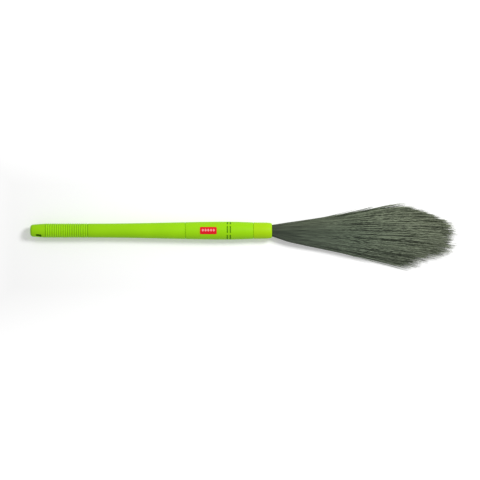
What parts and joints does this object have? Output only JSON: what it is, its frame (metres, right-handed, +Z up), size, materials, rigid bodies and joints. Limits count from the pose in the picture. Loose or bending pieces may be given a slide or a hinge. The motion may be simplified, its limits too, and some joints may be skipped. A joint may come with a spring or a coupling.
{
  "type": "broom",
  "caption": "Hand broom with a ribbed moulded plastic handle that swells into a slotted socket, a round-lipped collar and a flared fan of fine synthetic bristles for sweeping floors.",
  "frame": {"origin": "on the floor, under the middle of the box of the broom as it lies flat", "axes": "+X along the handle from its butt to the bristle tips, +Z up from the floor, -Y towards the side on which the fan spreads furthest"},
  "size_m": [0.998, 0.1466, 0.042],
  "materials": {
    "lime_plastic": "satin moulded polypropylene",
    "cup_plastic": "moulded polypropylene, deeper lime than the handle",
    "bristle_fibre": "fine drawn fibre, split at the tips",
    "binding_wire": "galvanised",
    "label_film": "glossy printed film, bare"
  },
  "bodies": {
    "root": {"end_cap": "lime_plastic", "grip": "lime_plastic", "handle_tube": "lime_plastic", "socket": "lime_plastic", "collar": "lime_plastic", "root_cup": "cup_plastic", "binding_wire": "binding_wire", "bristles_bottom": "bristle_fibre", "bristles_lower": "bristle_fibre", "bristles_upper": "bristle_fibre", "bristles_top": "bristle_fibre"}
  },
  "joints": []
}
